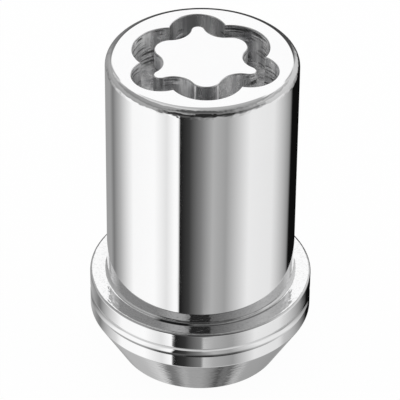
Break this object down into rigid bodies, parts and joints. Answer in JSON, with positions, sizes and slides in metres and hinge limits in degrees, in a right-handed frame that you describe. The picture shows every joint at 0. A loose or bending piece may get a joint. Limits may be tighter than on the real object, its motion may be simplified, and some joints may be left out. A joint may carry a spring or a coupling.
{
  "type": "locking wheel nut",
  "caption": "Closed-end locking wheel nut with a plain round barrel, a collar above a cone seat, a blind threaded bore and a wavy key groove in its end face.",
  "frame": {"origin": "centre of the nose face, on the axis, at the mouth of the threaded bore", "axes": "+Z along the axis, from the bore's mouth up to the end face with the key groove"},
  "size_m": [0.0244, 0.0244, 0.0378],
  "materials": {
    "chrome_plate": "mirror chrome plate over steel, with fine turning marks round the collar"
  },
  "bodies": {
    "root": {"wheel_nut": "chrome_plate"}
  },
  "joints": []
}
